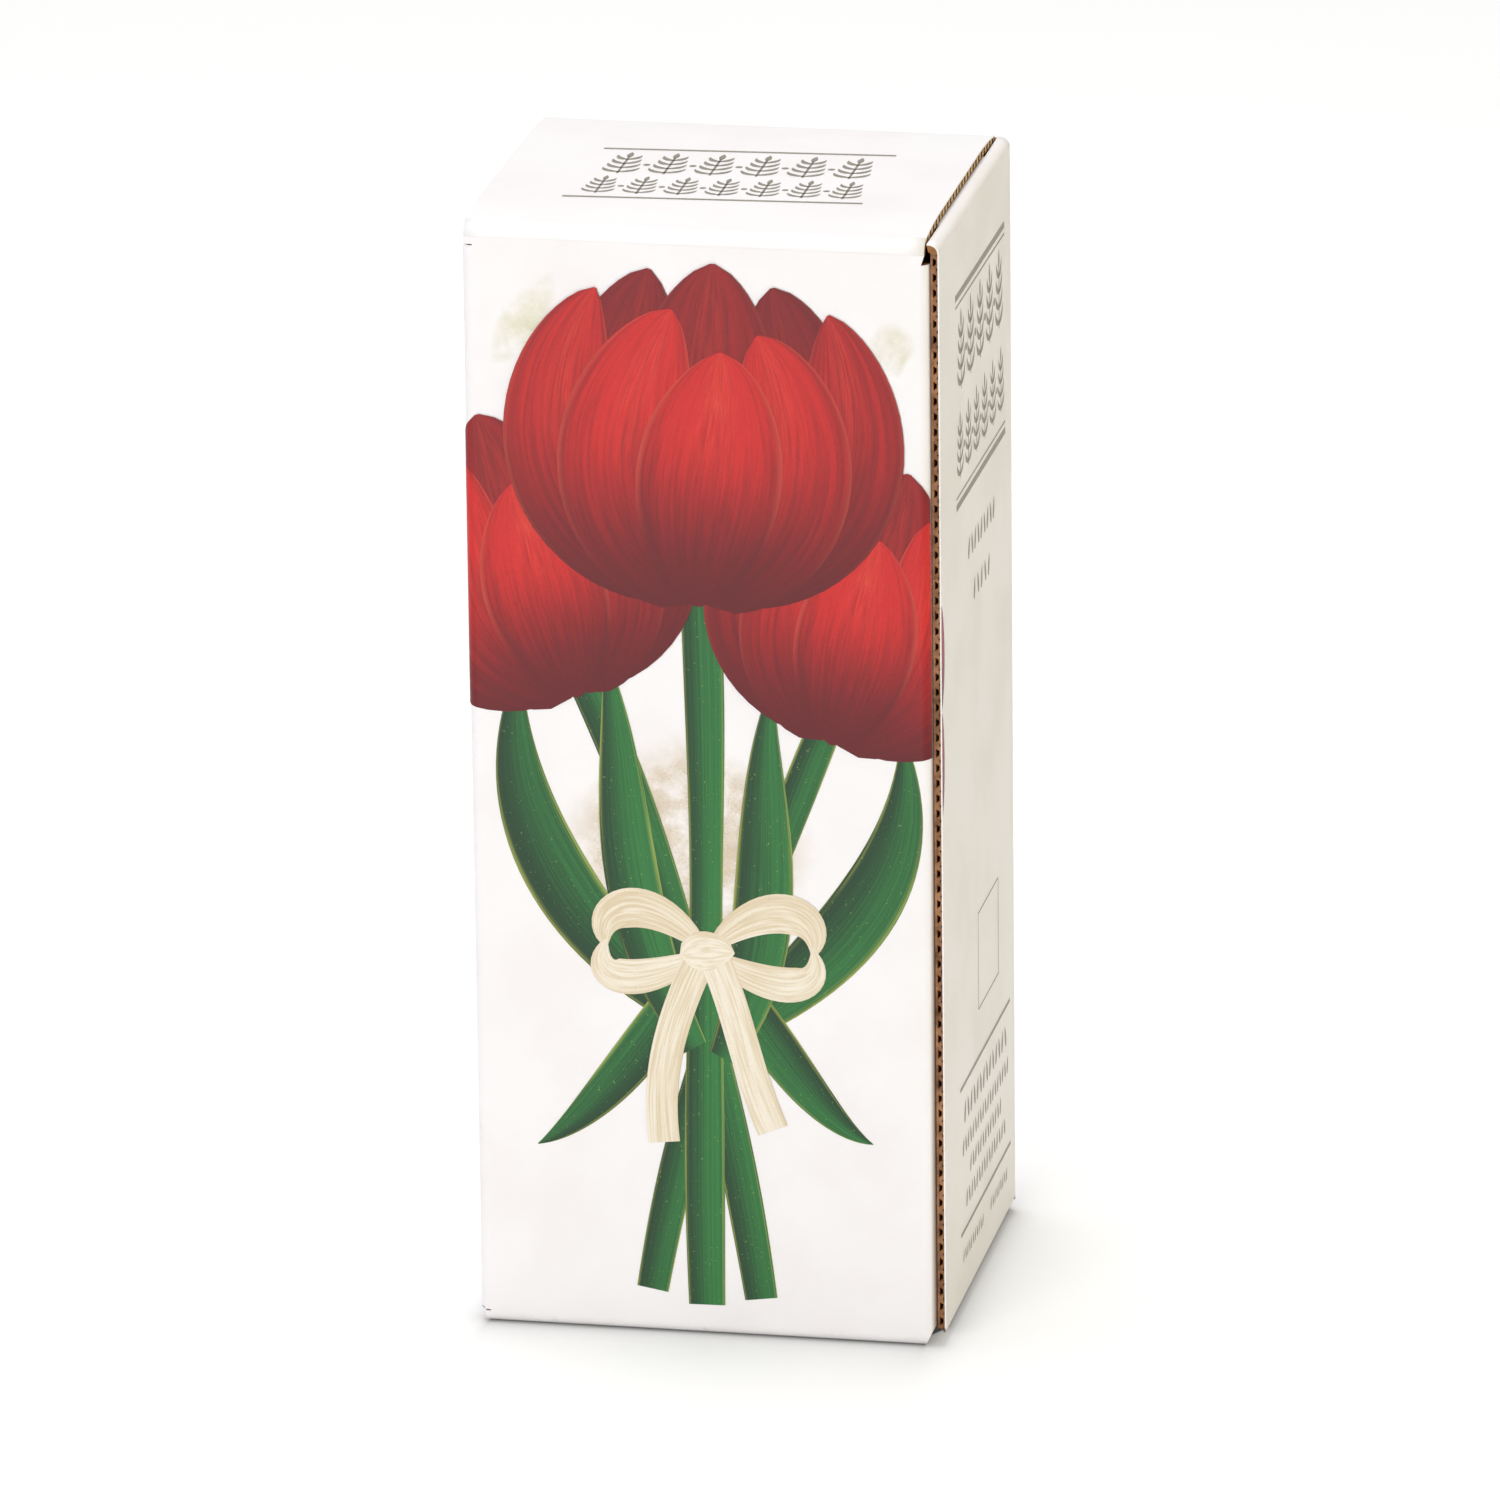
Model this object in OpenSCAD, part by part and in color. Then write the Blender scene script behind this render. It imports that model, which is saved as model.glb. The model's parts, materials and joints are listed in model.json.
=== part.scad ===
// Wall vase in its retail carton: a tuck-top carton of fine corrugated board, a folded insert,
// and the hanging vase that stands in it, a bowl-mouthed glass tube in an acrylic holder
// with a suction cup.
// Millimetres. X is to the right, Y to the back, Z up. The origin is the centre of the base.

/* [Carton] */
// Outside width of the carton
carton_w = 103; // [98:1:130]
// Outside depth of the carton, front to back
carton_d = 90; // [88:1:130]
// Outside height of the carton with its lid shut
carton_h = 250; // [230:1:300]
// Width of the glue flap inside the side seam
glue_flap_w = 18; // [10:1:30]
// Length of the dust flaps from their fold
dust_flap_l = 40; // [25:1:44]
// Length of the lid's tuck flap from its fold
tuck_flap_l = 25; // [15:1:27]
// Outer radius of the folds of the walls and of the base
edge_r = 2.4; // [2:0.1:4]
// Outer radius of the fold between the front wall and the lid
lid_fold_r = 3.2; // [2.9:0.1:4]
// Outer radius of the folds of the dust flaps
dust_fold_r = 2.2; // [2.2:0.1:4]
// Outer radius of the fold of the tuck flap
tuck_fold_r = 2.6; // [2.2:0.1:4]
// Radius of the lid's soft bow behind its front fold and in front of its tuck fold
lid_bow_r = 130; // [100:5:300]

/* [Board] */
// Thickness of the printed outer sheet
sheet_t = 0.3; // [0.2:0.05:0.5]
// Height of the fluted layer
flute_h = 1.05; // [0.9:0.05:1.4]
// Thickness of the plain inner liner with the glue and paper at the flutes' feet
liner_t = 0.45; // [0.3:0.05:0.6]
// Thickness of the paper over the flutes' hollows
medium_t = 0.3; // [0.15:0.01:0.4]
// Distance from one flute to the next
flute_pitch = 3.4; // [2.8:0.1:6]

/* [Vase] */
// Outside radius of the glass tube
tube_r = 12.5; // [10:0.5:13.5]
// Wall of the glass
glass_t = 1.3; // [1:0.1:2]
// Depth of the tube below the top of the holder
tube_drop = 122; // [90:1:150]
// Outside radius of the bowl at the tube's mouth
bowl_r = 26; // [20:0.5:30]
// Height of the bowl
bowl_h = 20; // [12:1:26]
// Radius of the holder's disc
disc_r = 37.5; // [34:0.5:40]
// Thickness of the holder's acrylic
disc_t = 4; // [3:0.5:5]
// Radius of the suction cup
cup_r = 25; // [18:0.5:30]
// Depth of the suction cup from its shoulder to its rim
cup_h = 14; // [10:0.5:17]

/* [Hidden] */
$fn = 48;

white = "white";
kraft = "peru";

// Board
kraft_t = flute_h + liner_t;
board_t = sheet_t + kraft_t;
// Half the width of a flute's hollow at the liner and under its crest, as shares of a pitch
hollow_foot_share = 0.29;
hollow_top_share = 0.15;
// Half the width of the gap between two crests as a share of a pitch, and its depth as a share of the
// flutes' height. The cut edge is crushed, so the gaps are narrow there.
gap_share = 0.13;
gap_depth_share = 0.4;
// Overrun of every cut
overrun = 1;

// Carton planes
half_w = carton_w / 2;
half_d = carton_d / 2;
inner_x = half_w - board_t;
inner_y = half_d - board_t;
// The front wall turns back into the glue flap inside the right wall
seam_x = inner_x;
// How far the right wall's raw edge stands behind the front face
raw_edge_back = 1;
// How far the back wall's raw edge stands below the lid's top
back_drop = 2.8;
// The lid's left and right ends
lid_left = -half_w + 0.6;
lid_right = seam_x - 1.2;
// Gap between the tuck flap's root and the back wall
tuck_gap = 0.4;

// The lid rises behind its front fold and falls towards its tuck fold
lid_rise = 7.5;
lid_fall = 7.5;
// A flap turns about the middle of its board. A fold takes up its reach on both sides of there.
lid_turn = 90 - lid_rise;
dust_turn = 102;
tuck_tilt = 102;
tuck_turn = tuck_tilt - lid_fall;
function fold_reach(r, turn) = (r - board_t / 2) * tan(turn / 2);
lid_reach = fold_reach(lid_fold_r, lid_turn);
dust_reach = fold_reach(dust_fold_r, dust_turn);
tuck_reach = fold_reach(tuck_fold_r, tuck_turn);

// The lid's middle line, from its fold on: a rising arc, a flat and a falling arc
lid_span = inner_y - tuck_gap + half_d - board_t;
rise_l = lid_bow_r * lid_rise * PI / 180;
fall_l = lid_bow_r * lid_fall * PI / 180;
rise_start = lid_reach * [cos(lid_rise), sin(lid_rise)];
rise_end = rise_start + lid_bow_r * [sin(lid_rise), 1 - cos(lid_rise)];
fall_start = [lid_span - tuck_reach * cos(lid_fall) - lid_bow_r * sin(lid_fall), rise_end[1]];
fall_end = fall_start + lid_bow_r * [sin(lid_fall), cos(lid_fall) - 1];
flat_l = fall_start[0] - rise_end[0];
lid_l = rise_l + flat_l + fall_l;
function lid_angle(s) = s < rise_l ? lid_rise * (1 - s / rise_l)
    : s < rise_l + flat_l ? 0 : -lid_fall * (s - rise_l - flat_l) / fall_l;
function lid_mid(s) = let (a = lid_angle(s))
    s < rise_l ? rise_start + lid_bow_r * [sin(lid_rise) - sin(a), cos(a) - cos(lid_rise)]
    : s < rise_l + flat_l ? rise_end + [s - rise_l, 0]
    : fall_start + lid_bow_r * [sin(-a), cos(a) - 1];
// The point at length s along the lid and height n above its middle line.
function lid_point(s, n) = let (a = lid_angle(s)) lid_mid(s) + n * [-sin(a), cos(a)];

// Turning points of the flaps
lid_pivot = [0, -half_d + board_t / 2, carton_h - board_t / 2 - rise_end[1]];
tuck_pivot = lid_pivot + [0, lid_span, fall_end[1] - tuck_reach * sin(lid_fall)];
// The left dust flap lies under the lid, and the right one stands beside its raw edge.
left_dust_drop = board_t;
right_dust_drop = 0.3;
left_dust_pivot = [-half_w + board_t / 2, 0, lid_pivot[2] - left_dust_drop];
right_dust_pivot = [half_w - board_t / 2, 0, lid_pivot[2] - right_dust_drop];

// Heights of the walls
front_z = [edge_r, lid_pivot[2] - lid_reach];
side_foot = board_t + edge_r;
left_top = left_dust_pivot[2] - dust_reach;
right_top = right_dust_pivot[2] - dust_reach;
back_z = [edge_r, carton_h - back_drop];
// The corner folds reach lower than the side walls' own folds. The front one ends below the lid's fold.
corner_foot = board_t + 1.2;
front_corner_z = [corner_foot, front_z[1] - 1.9];
left_back_corner_z = [corner_foot, left_top];
right_back_corner_z = [corner_foot, right_top];
// Width of the slits between the corner folds and the front wall's ends
slit = 0.3;
// The seam's fold ends below the side wall's top, and the front wall's end stands in from the seam there.
seam_top = right_top - 2.3;
seam_notch_in = 1.9;
// Width and height of the oblique cut at the foot of the seam's fold
seam_cut_in = 2.7;
seam_cut_rise = 5.7;
seam_slope = seam_cut_in / seam_cut_rise;

// Outlines of the flaps
dust_front_in = 7;
dust_back_in = 9;
dust_root_cut = 10;
dust_notch = 5;
dust_front_taper = 30;
dust_back_taper = 5;
tuck_half = inner_x - 1.2;
tuck_corner_share = 0.42;
tuck_corner_r = tuck_corner_share * tuck_flap_l;
tuck_side_taper = 2 * board_t;

// Base flaps
base_side_in = 1.2;
base_flap_in = 2.6;
base_seam_in = 0.8;
base_taper = 1.5;
base_root_w = 1;
base_seam_gap = 0.5;
base_left_share = 0.16;
base_right_share = -0.12;
base_hook_share = 0.04;
side_flap_end_in = 8;
side_flap_end_share = 0.12;
side_flap_taper_share = 0.24;

// Glue flap
glue_taper = 5;

// Insert
insert_gap = 0.6;
insert_fold_r = 3;
insert_foot_z = 2 * board_t;
tube_foot_gap = 8.4;
insert_hole_gap = 2;
insert_notch_side_gap = 2.4;
insert_notch_front_gap = 1.5;

// Vase
disc_top = insert_foot_z + tube_foot_gap + tube_drop;
insert_z = disc_top - disc_t;
vase_y = -3;
disc_hole_gap = 0.6;
disc_edge_r = 0.6;
bend_in_r = 2;
bend_y = 17;
bend_z = disc_top - disc_t - bend_in_r;
chord_half = sqrt(disc_r * disc_r - bend_y * bend_y);
// How far the bend's ends stand in from the disc's cut edge
bend_end_in = 1.4;
bend_half = chord_half - bend_end_in;
tab_face_y = vase_y + bend_y + bend_in_r;
stud_drop = 14.5;
stud_z = disc_top - disc_t / 2 - stud_drop;
stud_r = 4;
stud_fit = 0.08;
head_r = 6.2;
head_h = 3;
shoulder_r = 7.5;
shoulder_h = 2.5;
cup_face_gap = 0.1;
cup_wall = 2.2;
cup_rim_t = 1;
seat_gap = 0.05;
bowl_z = disc_top + seat_gap;
bowl_steps = 12;
cup_steps = 8;

// Turns the drawing plane's x to Y, its y to Z and its height to X.
module along_x() multmatrix([[0, 0, 1, 0], [1, 0, 0, 0], [0, 1, 0, 0], [0, 0, 0, 1]]) children();
// Turns the drawing plane's x to Z, its y to X and its height to Y.
module along_y() multmatrix([[0, 1, 0, 0], [0, 0, 1, 0], [1, 0, 0, 0], [0, 0, 0, 1]]) children();

// A block between two opposite corners.
module block(low, high) translate(low) cube(high - low);

// Part of a ring about Z, from angle start on, with its outer radius and wall.
module ring_part(start, turn, r, wall, h)
    rotate([0, 0, start])
        rotate_extrude(angle = turn)
            translate([r - wall, 0])
                square([wall, h]);

// Fluted paper on its liner, drawn with its length along x. y = 0 takes the printed sheet.
// The top dips between the crests, and each flute's hollow is a hole under its crest.
function flute_count(length) = round(length / flute_pitch);
function flute_top(length) = let (pitch = length / flute_count(length), half = gap_share * pitch)
    concat([[0, -gap_depth_share * flute_h]],
        [for (i = [0 : flute_count(length) - 1]) for (p = [
            [half, 0], [pitch - half, 0], [pitch, -gap_depth_share * flute_h]]) [i * pitch + p[0], p[1]]]);
function flute_hole(length, i) =
    let (pitch = length / flute_count(length), foot = hollow_foot_share * pitch, top = hollow_top_share * pitch)
    [for (p = [[-foot, -flute_h], [-top, -medium_t], [top, -medium_t], [foot, -flute_h]])
        [(i + 0.5) * pitch + p[0], p[1]]];
module fluted_slab(length, run)
    linear_extrude(run) difference() {
        polygon(concat(flute_top(length), [[length, -kraft_t], [0, -kraft_t]]));
        for (i = [0 : flute_count(length) - 1])
            polygon(flute_hole(length, i));
    }

// Outline of a dust flap that lies along y, with its front edge at low x. Oblique cuts at both ends
// of its root keep it clear of the bowed lid.
module dust_outline() {
    notch_y = dust_reach + dust_notch;
    span = dust_flap_l - notch_y;
    front = -half_d + dust_front_in;
    back = half_d - dust_back_in;
    polygon([
        [front + dust_root_cut, dust_reach], [front, notch_y],
        [front + span * tan(dust_front_taper), dust_flap_l],
        [back - span * tan(dust_back_taper), dust_flap_l],
        [back, notch_y], [back - dust_root_cut, dust_reach]]);
}

// Outline of the tuck flap that lies along y, with its two round corners.
module tuck_outline() {
    y = tuck_flap_l - tuck_corner_r;
    x = tuck_half - tuck_side_taper - tuck_corner_r;
    for (side = [-1, 1])
        translate([side * x, y]) circle(tuck_corner_r);
    translate([-x, y]) square([2 * x, tuck_corner_r]);
    polygon([
        [-tuck_half, tuck_reach], [tuck_half, tuck_reach],
        [x + tuck_corner_r, y], [-x - tuck_corner_r, y]]);
}

// The two layers of a flap that lies along +Y with its printed side up. Its pivot is the origin.
module flap_sheet() translate([0, 0, board_t / 2 - sheet_t]) linear_extrude(sheet_t) children();
module flap_board(reach, length, half)
    intersection() {
        translate([-half, reach, board_t / 2 - sheet_t])
            along_x() fluted_slab(length - reach, 2 * half);
        translate([0, 0, -board_t]) linear_extrude(2 * board_t) children();
    }

// A fold's layer between r and r - wall, in the frame of the flap that it carries.
module flap_fold(reach, fold_r, turn, r, wall, x0, x1)
    translate([x0, reach, board_t / 2 - fold_r])
        along_x() ring_part(90, turn, r, wall, x1 - x0);

// Places a flap at its turning point.
module at_lid() translate(lid_pivot) children();
module at_tuck() translate(tuck_pivot) rotate([-tuck_tilt, 0, 0]) children();
module at_dust(side)
    translate(side < 0 ? left_dust_pivot : right_dust_pivot)
        rotate([0, 0, side * 90]) rotate([90 - dust_turn, 0, 0]) children();

// One layer of the upright walls, from depth in to depth in + wall below the outer face.
module corner_fold(x, y, start, in, wall, z)
    translate([x, y, z[0]]) ring_part(start, 90, edge_r - in, wall, z[1] - z[0]);
base_left = -half_w + base_side_in;
module front_outline()
    polygon([
        [base_left, front_z[0]], [seam_x - edge_r, front_z[0]],
        [seam_x - edge_r, seam_top], [seam_x - seam_notch_in, seam_top], [lid_right, front_z[1]],
        [lid_left, front_z[1]], [lid_left, front_corner_z[1] + slit],
        [-half_w + edge_r, front_corner_z[1] + slit], [-half_w + edge_r, front_corner_z[0] - slit],
        [base_left, front_corner_z[0] - slit]]);
module front_layer(in, wall)
    translate([0, -half_d + in + wall, 0])
        rotate([90, 0, 0]) linear_extrude(wall) front_outline();
module left_layer(in, wall) {
    block([-half_w + in, -half_d + edge_r, side_foot],
        [-half_w + in + wall, half_d - edge_r, left_top]);
    corner_fold(-half_w + edge_r, -half_d + edge_r, 180, in, wall, front_corner_z);
    corner_fold(-half_w + edge_r, half_d - edge_r, 90, in, wall, left_back_corner_z);
}
module back_layer(in, wall) {
    block([-half_w + edge_r, half_d - in - wall, back_z[0]],
        [half_w - edge_r, half_d - in, back_z[1]]);
    corner_fold(half_w - edge_r, half_d - edge_r, 0, in, wall, right_back_corner_z);
}
// What the oblique cut at the foot of the seam's fold takes away
module seam_cut()
    translate([0, -half_d + edge_r + overrun, 0])
        rotate([90, 0, 0])
            linear_extrude(edge_r + 2 * overrun)
                polygon([
                    [seam_x - seam_cut_in - overrun * seam_slope, -overrun],
                    [seam_x + overrun, -overrun],
                    [seam_x + overrun, seam_cut_rise + overrun / seam_slope]]);
module seam_layer(in, wall)
    difference() {
        corner_fold(seam_x - edge_r, -half_d + edge_r, 270, in, wall, [front_z[0], seam_top]);
        seam_cut();
    }

// The glue flap lies inside the right wall, and its ends are cut back.
module glue_layer(in, wall)
    translate([seam_x - in - wall, -half_d + edge_r, 0])
        rotate([90, 0, 90]) linear_extrude(wall)
            polygon([
                [0, seam_cut_rise], [glue_flap_w, seam_cut_rise + glue_taper],
                [glue_flap_w, seam_top - glue_taper], [0, seam_top]]);

// Walls
module outer_sheet() color(white) {
    front_layer(0, sheet_t);
    left_layer(0, sheet_t);
    back_layer(0, sheet_t);
    seam_layer(0, sheet_t);
    glue_layer(0, sheet_t);
    block([half_w - sheet_t, -half_d + raw_edge_back, side_foot],
        [half_w, half_d - edge_r, right_top]);
}
module front_board() color(kraft) {
    front_layer(sheet_t, kraft_t);
    seam_layer(sheet_t, kraft_t);
}
module left_board() color(kraft) left_layer(sheet_t, kraft_t);
module back_board() color(kraft) back_layer(sheet_t, kraft_t);
module right_board() color(kraft)
    translate([half_w - sheet_t, -half_d + raw_edge_back, side_foot])
        along_y() fluted_slab(right_top - side_foot, 2 * half_d - edge_r - raw_edge_back);
module glue_flap() color(kraft) glue_layer(sheet_t, kraft_t);

// Base: the front and back flaps lie under the two side flaps and hook into each other.
base_y = half_d - edge_r;
base_right = seam_x - seam_cut_in;
base_end = half_w - base_flap_in;
base_left_y = base_left_share * carton_d;
base_right_y = base_right_share * carton_d;
base_hook_x = base_hook_share * carton_w;
module front_base_outline()
    polygon([
        [base_left, -base_y], [base_right - base_seam_in, -base_y],
        [base_right - base_seam_in, base_right_y],
        [base_hook_x, base_right_y], [-base_hook_x, base_left_y],
        [-base_end, base_left_y], [-base_end, -base_y + base_taper]]);
module back_base_outline()
    polygon([
        [-base_end, base_y], [base_end, base_y],
        [base_end, base_right_y + base_seam_gap],
        [base_hook_x + base_seam_gap, base_right_y + base_seam_gap],
        [-base_hook_x + base_seam_gap, base_left_y + base_seam_gap],
        [-base_end, base_left_y + base_seam_gap]]);
// A base flap's fold, in a layer that starts in below the outer face.
module base_fold(side, left, right, in, wall)
    translate([left, side * base_y, edge_r])
        along_x() ring_part(side < 0 ? 180 : 270, 90, edge_r - in, wall, right - left);
// The start of a base flap's flat part, beside its fold
module base_root(side, right, in, wall)
    translate([-base_end, side < 0 ? -base_y : base_y - base_root_w, in])
        cube([base_end + right, base_root_w, wall]);
module front_base_layer(in, wall)
    difference() {
        union() {
            translate([0, 0, in]) linear_extrude(wall) front_base_outline();
            base_root(-1, base_right - base_seam_in, in, wall);
            base_fold(-1, base_left, base_right + edge_r * seam_slope, in, wall);
        }
        seam_cut();
    }
module back_base_layer(in, wall) {
    translate([0, 0, in]) linear_extrude(wall) back_base_outline();
    base_root(1, base_end, in, wall);
    base_fold(1, -base_end, base_end, in, wall);
}
module front_base_flap() color(kraft) front_base_layer(sheet_t, kraft_t);
module front_base_sheet() color(white) front_base_layer(0, sheet_t);
module back_base_flap() color(kraft) back_base_layer(sheet_t, kraft_t);
module back_base_sheet() color(white) back_base_layer(0, sheet_t);

// A side flap and its fold are cut obliquely at both ends, from the side wall's ends on.
side_root = half_w - edge_r;
side_flap_half = half_d - side_flap_end_in;
module side_base_plan(side) {
    front = -half_d + (side > 0 ? raw_edge_back : edge_r);
    back = half_d - edge_r;
    mirror([side < 0 ? 1 : 0, 0])
        polygon([
            [half_w + overrun, front + overrun * (front + side_flap_half) / edge_r],
            [half_w + overrun, back + overrun * (back - side_flap_half) / edge_r],
            [side_root, side_flap_half],
            [side_flap_end_share * half_w, side_flap_half - side_flap_taper_share * carton_d],
            [side_flap_end_share * half_w, -side_flap_half + side_flap_taper_share * carton_d],
            [side_root, -side_flap_half]]);
}
module side_base_layer(side, in, wall)
    intersection() {
        union() {
            block([side < 0 ? -side_root : 0, -half_d, board_t + in],
                [side < 0 ? 0 : side_root, half_d, board_t + in + wall]);
            translate([side * side_root, -half_d, side_foot])
                along_y() ring_part(side > 0 ? 90 : 180, 90, edge_r - in, wall, carton_d);
        }
        linear_extrude(side_foot + overrun) side_base_plan(side);
    }
module side_base_flap(side) color(kraft) side_base_layer(side, sheet_t, kraft_t);
module side_base_sheet(side) color(white) side_base_layer(side, 0, sheet_t);

// Lid and its tuck flap
// Lengths at which the sheet meets one crest of the flutes and leaves it
function crest_ends(length) = let (pitch = length / flute_count(length), half = gap_share * pitch)
    concat([0],
        [for (i = [0 : flute_count(length) - 1]) for (end = [half, pitch - half]) i * pitch + end],
        [length]);
lid_ends = crest_ends(lid_l);
lid_last = len(lid_ends) - 1;
module lid_slab() translate([lid_left, 0, 0]) along_x() linear_extrude(lid_right - lid_left) children();
module lid_sheet() color(white) at_lid() lid_slab()
    polygon(concat(
        [for (s = lid_ends) lid_point(s, board_t / 2)],
        [for (i = [lid_last : -1 : 0]) lid_point(lid_ends[i], board_t / 2 - sheet_t)]));
module lid_board() color(kraft) at_lid() lid_slab()
    difference() {
        polygon(concat(
            [for (p = flute_top(lid_l)) lid_point(p[0], board_t / 2 - sheet_t + p[1])],
            [for (i = [lid_last : -1 : 0]) lid_point(lid_ends[i], -board_t / 2)]));
        for (i = [0 : flute_count(lid_l) - 1])
            polygon([for (p = flute_hole(lid_l, i)) lid_point(p[0], board_t / 2 - sheet_t + p[1])]);
    }
module lid_fold(in, wall)
    at_lid() rotate([lid_rise, 0, 0])
        flap_fold(lid_reach, lid_fold_r, lid_turn, lid_fold_r - in, wall, lid_left, lid_right);
module lid_fold_sheet() color(white) lid_fold(0, sheet_t);
module lid_fold_board() color(kraft) lid_fold(sheet_t, kraft_t);
module tuck_sheet() color(white) at_tuck() flap_sheet() tuck_outline();
module tuck_board() color(kraft)
    at_tuck() flap_board(tuck_reach, tuck_flap_l, tuck_half) tuck_outline();
module tuck_fold(in, wall)
    at_tuck() flap_fold(tuck_reach, tuck_fold_r, tuck_turn, tuck_fold_r - in, wall, -tuck_half, tuck_half);
module tuck_fold_sheet() color(white) tuck_fold(0, sheet_t);
module tuck_fold_board() color(kraft) tuck_fold(sheet_t, kraft_t);

// Dust flaps
module dust_side_outline(side) mirror([side < 0 ? 1 : 0, 0]) dust_outline();
module dust_sheet(side) color(white) at_dust(side) flap_sheet() dust_side_outline(side);
module dust_board(side) color(kraft)
    at_dust(side) flap_board(dust_reach, dust_flap_l, half_d) dust_side_outline(side);
module dust_fold(side, in, wall) {
    front = -half_d + (side > 0 ? raw_edge_back : edge_r);
    back = half_d - edge_r;
    at_dust(side)
        flap_fold(dust_reach, dust_fold_r, dust_turn, dust_fold_r - in, wall,
            side > 0 ? front : -back, side > 0 ? back : -front);
}

// Insert: a table of kraft board that the holder stands on. It fits inside the glue flap.
insert_left = -inner_x + insert_gap;
insert_right = seam_x - board_t - insert_gap;
insert_half_d = inner_y - insert_gap;
module insert_fold(x, start)
    translate([x, -insert_half_d, insert_z - insert_fold_r])
        along_y() ring_part(start, 90, insert_fold_r, board_t, 2 * insert_half_d);
module insert_top() color(kraft)
    difference() {
        union() {
            block([insert_left + insert_fold_r, -insert_half_d, insert_z - board_t],
                [insert_right - insert_fold_r, insert_half_d, insert_z]);
            insert_fold(insert_left + insert_fold_r, 270);
            insert_fold(insert_right - insert_fold_r, 0);
        }
        translate([0, vase_y, insert_z - board_t - overrun])
            cylinder(h = board_t + 2 * overrun, r = tube_r + insert_hole_gap);
        block([-chord_half - insert_notch_side_gap, vase_y + bend_y - insert_notch_front_gap,
                insert_z - board_t - overrun],
            [chord_half + insert_notch_side_gap, insert_half_d + overrun, insert_z + overrun]);
    }
module insert_leg(x) color(kraft)
    block([x, -insert_half_d, insert_foot_z],
        [x + board_t, insert_half_d, insert_z - insert_fold_r]);

// Vase
bowl_out = bowl_r - tube_r;
bowl_lip_share = 0.6;
// Points on the bowl's outer face and on its inner face, from the tube to the rim.
bowl_outer = [for (i = [0 : bowl_steps]) let (a = 90 * i / bowl_steps)
    [tube_r + bowl_out * sin(a), bowl_z + bowl_h * (1 - cos(a))]];
bowl_inner = [for (i = [bowl_steps : -1 : 0]) let (a = 90 * i / bowl_steps)
    [tube_r - glass_t + bowl_out * sin(a), bowl_z + glass_t + (bowl_h - glass_t) * (1 - cos(a))]];
module glass_tube() color("lightcyan", 0.4) translate([0, vase_y, 0]) {
    foot_z = disc_top - tube_drop + tube_r;
    rotate_extrude() {
        translate([tube_r - glass_t, foot_z]) square([glass_t, bowl_z - foot_z]);
        intersection() {
            translate([0, foot_z]) difference() {
                circle(tube_r);
                circle(tube_r - glass_t);
            }
            translate([0, foot_z - tube_r]) square([tube_r, tube_r]);
        }
    }
}
module glass_bowl() color("lightcyan", 0.4) translate([0, vase_y, 0])
    rotate_extrude() {
        polygon(concat([[tube_r - glass_t, bowl_z]], bowl_outer, bowl_inner));
        translate([bowl_r - glass_t / 2, bowl_z + bowl_h]) circle(bowl_lip_share * glass_t);
    }
module holder_disc()
    rotate_extrude() {
        square([disc_r - disc_edge_r, disc_t]);
        translate([disc_r - disc_edge_r, disc_edge_r]) square([disc_edge_r, disc_t - 2 * disc_edge_r]);
        for (z = [disc_edge_r, disc_t - disc_edge_r])
            translate([disc_r - disc_edge_r, z]) circle(disc_edge_r);
    }
module holder() color("aliceblue", 0.5) {
    difference() {
        translate([0, vase_y, disc_top - disc_t]) holder_disc();
        translate([0, vase_y, disc_top - disc_t - overrun])
            cylinder(h = disc_t + 2 * overrun, r = tube_r + disc_hole_gap);
        block([-disc_r - overrun, vase_y + bend_y, disc_top - disc_t - overrun],
            [disc_r + overrun, vase_y + disc_r + overrun, disc_top + overrun]);
    }
    translate([-bend_half, vase_y + bend_y, bend_z])
        along_x() ring_part(0, 90, bend_in_r + disc_t, disc_t, 2 * bend_half);
    difference() {
        intersection() {
            translate([0, tab_face_y, bend_z + bend_y])
                along_y() cylinder(h = disc_t, r = disc_r);
            block([-disc_r, tab_face_y - overrun, bend_z - disc_r],
                [disc_r, tab_face_y + disc_t + overrun, bend_z]);
        }
        translate([0, tab_face_y - overrun, stud_z])
            along_y() cylinder(h = disc_t + 2 * overrun, r = stud_r + stud_fit);
    }
}
// The cup is drawn with its axis upright and its head at the bottom, and then laid along Y.
module suction_cup() color("white", 0.5)
    translate([0, tab_face_y, stud_z]) along_y() {
        back = disc_t + cup_face_gap;
        rim_z = back + cup_h;
        dome_out = cup_r - shoulder_r;
        dome_h = cup_h - shoulder_h - cup_rim_t;
        outer = [for (i = [0 : cup_steps]) let (a = 90 * i / cup_steps)
            [shoulder_r + dome_out * sin(a), back + shoulder_h + dome_h * (1 - cos(a))]];
        inner = [for (i = [cup_steps : -1 : 0]) let (a = 90 * i / cup_steps)
            [(cup_r - cup_rim_t) * sin(a), rim_z - (dome_h - cup_wall + cup_rim_t) * cos(a)]];
        translate([0, 0, -cup_face_gap - head_h]) {
            cylinder(h = head_h / 2, r1 = head_r - head_h / 2, r2 = head_r);
            translate([0, 0, head_h / 2]) cylinder(h = head_h / 2, r = head_r);
        }
        translate([0, 0, -cup_face_gap]) cylinder(h = disc_t + 2 * cup_face_gap, r = stud_r);
        rotate_extrude()
            polygon(concat([[0, back], [shoulder_r, back]], outer, [[cup_r, rim_z]], inner));
    }

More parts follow.
